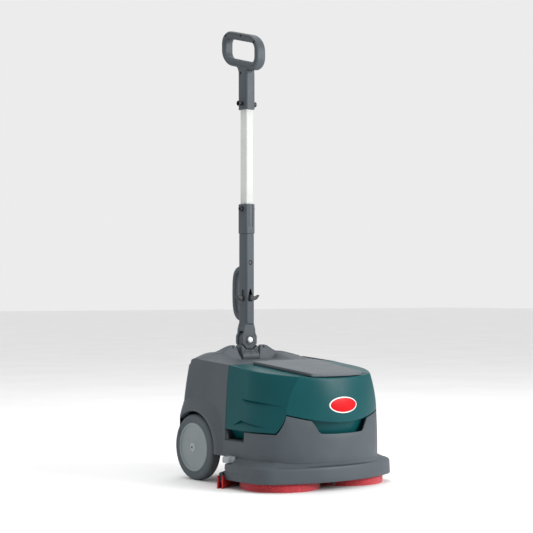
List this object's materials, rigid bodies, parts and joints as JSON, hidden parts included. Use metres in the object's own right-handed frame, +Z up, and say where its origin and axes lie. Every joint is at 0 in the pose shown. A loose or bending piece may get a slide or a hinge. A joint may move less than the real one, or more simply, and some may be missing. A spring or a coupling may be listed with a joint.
{
  "type": "floor scrubber machine",
  "caption": "Walk-behind floor scrubber with round pads under a low skirt, a curved squeegee, a lift-off tank with a flat lid, rear wheels and a folding, telescoping mast with a loop grip.",
  "frame": {"origin": "middle of the machine's footprint box, on the floor", "axes": "+Z up along the mast, -Y to the front of the machine, +Y towards the operator, -X to the machine's right side"},
  "size_m": [0.4522, 0.4786, 1.1346],
  "materials": {
    "body_grey": "fine grained moulded plastic",
    "dark_plastic": "dark moulded plastic",
    "tank_teal": "satin dark teal rotomoulded tank",
    "lid_grey": "light grey moulded plastic",
    "pale_plastic": "pale grey moulded plastic",
    "white_plastic": "white moulded plastic",
    "tube_white": "satin white painted tube",
    "tyre": "grey solid tyre",
    "hub_grey": "grey moulded hub",
    "pad_red": "red fibrous scrubbing pad",
    "squeegee_red": "red rubber blade",
    "steel": "plain steel",
    "black_plastic": "black moulded plastic",
    "black_steel": "blackened steel screws",
    "hose_rubber": "black rubber hose",
    "board_green": "coated circuit board",
    "battery_case": "dark battery case",
    "badge_red": "red oval plate with a pale rim"
  },
  "bodies": {
    "chassis": {"chassis_shell": "body_grey", "brush_deck": "body_grey", "rear_cover": "body_grey", "mast_bracket": "steel", "recline_pin": "steel", "brush_motor_right": "dark_plastic", "brush_motor_left": "dark_plastic", "battery_pack": "battery_case", "vacuum_motor": "steel", "water_pump": "black_plastic", "control_board": "board_green", "wheel_axle": "steel", "suction_hose": "hose_rubber", "suction_boot": "hose_rubber", "charge_socket": "black_plastic", "solution_nozzle": "black_plastic"},
    "tank": {"tank_shell": "tank_teal", "recovery_tub": "dark_plastic", "lid_hinge_pin": "steel", "front_badge": "badge_red"},
    "lid": {"lid": "lid_grey", "float_cage": "white_plastic"},
    "float": {"float_ball": "white_plastic"},
    "mast_base": {"mast_yoke": "body_grey", "pivot_bolt": "steel"},
    "post": {"mast_post": "body_grey", "mast_collar": "body_grey", "pivot_cap": "white_plastic", "collar_screw_right": "black_steel", "collar_screw_left": "black_steel", "post_screw": "black_steel", "lever_spring": "steel"},
    "lever": {"release_lever": "dark_plastic"},
    "tube": {"mast_tube": "tube_white", "grip_half_right": "body_grey", "grip_half_left": "body_grey", "grip_bolt": "black_steel", "grip_nut": "black_steel"},
    "wheel_right": {"tyre_right": "tyre", "wheel_hub_right": "hub_grey", "axle_cap_right": "pale_plastic"},
    "wheel_left": {"tyre_left": "tyre", "wheel_hub_left": "hub_grey", "axle_cap_left": "pale_plastic"},
    "pad_right": {"pad_holder_right": "black_plastic", "scrub_pad_right": "pad_red"},
    "pad_left": {"pad_holder_left": "black_plastic", "scrub_pad_left": "pad_red"},
    "squeegee": {"squeegee_holder": "dark_plastic", "squeegee_blade_front": "squeegee_red", "squeegee_blade_rear": "squeegee_red", "suction_port": "dark_plastic"},
    "knob_right": {"squeegee_knob_right": "pale_plastic"},
    "knob_left": {"squeegee_knob_left": "pale_plastic"},
    "rocker": {"power_rocker": "black_plastic"}
  },
  "joints": [
    {"name": "mast_recline", "type": "hinge", "parent": "chassis", "child": "mast_base", "pos_m": [0, 0.1417, 0.297], "axis": [-1, 0, 0], "range_deg": [0, 75]},
    {"name": "mast_tilt", "type": "hinge", "parent": "mast_base", "child": "post", "pos_m": [0, 0.1467, 0.339], "axis": [0, 1, 0], "range_deg": [-30, 30]},
    {"name": "mast_telescope", "type": "slide", "parent": "post", "child": "tube", "axis": [0, 0, 1], "range_m": [-0.1, 0]},
    {"name": "lever_lift", "type": "slide", "parent": "post", "child": "lever", "axis": [0, 0, 1], "range_m": [0, 0.008], "stiffness_N_per_m": 400, "springref_m": -0.006, "deforming": ["lever_spring"]},
    {"name": "tank_lift", "type": "slide", "parent": "chassis", "child": "tank", "axis": [0, 0, 1], "range_m": [0, 0.25]},
    {"name": "lid_hinge", "type": "hinge", "parent": "tank", "child": "lid", "pos_m": [0, -0.0105, 0.28941], "axis": [-1, 0, 0], "range_deg": [0, 95]},
    {"name": "float_rise", "type": "slide", "parent": "lid", "child": "float", "axis": [0, 0, 1], "range_m": [0, 0.02]},
    {"name": "wheel_right_spin", "type": "hinge", "parent": "chassis", "child": "wheel_right", "pos_m": [0, 0.1193, 0.0803], "axis": [1, 0, 0], "continuous": true},
    {"name": "wheel_left_spin", "type": "hinge", "parent": "chassis", "child": "wheel_left", "pos_m": [0, 0.1193, 0.0803], "axis": [1, 0, 0], "continuous": true},
    {"name": "pad_right_spin", "type": "hinge", "parent": "chassis", "child": "pad_right", "pos_m": [-0.098, -0.1183, 0.02], "axis": [0, 0, 1], "continuous": true},
    {"name": "pad_left_spin", "type": "hinge", "parent": "chassis", "child": "pad_left", "pos_m": [0.098, -0.1183, 0.02], "axis": [0, 0, 1], "continuous": true},
    {"name": "squeegee_tilt", "type": "hinge", "parent": "chassis", "child": "squeegee", "pos_m": [0, -0.0553, 0.04], "axis": [1, 0, 0], "range_deg": [0, 6], "deforming": ["suction_boot"]},
    {"name": "knob_right_turn", "type": "hinge", "parent": "chassis", "child": "knob_right", "pos_m": [-0.19, -0.0433, 0.064], "axis": [0, 0, 1], "range_deg": [0, 360]},
    {"name": "knob_left_turn", "type": "hinge", "parent": "chassis", "child": "knob_left", "pos_m": [0.19, -0.0433, 0.064], "axis": [0, 0, 1], "range_deg": [0, 360]},
    {"name": "rocker_press", "type": "hinge", "parent": "chassis", "child": "rocker", "pos_m": [-0.07, 0.1772, 0.2], "axis": [1, 0, 0], "range_deg": [-8, 8]}
  ]
}
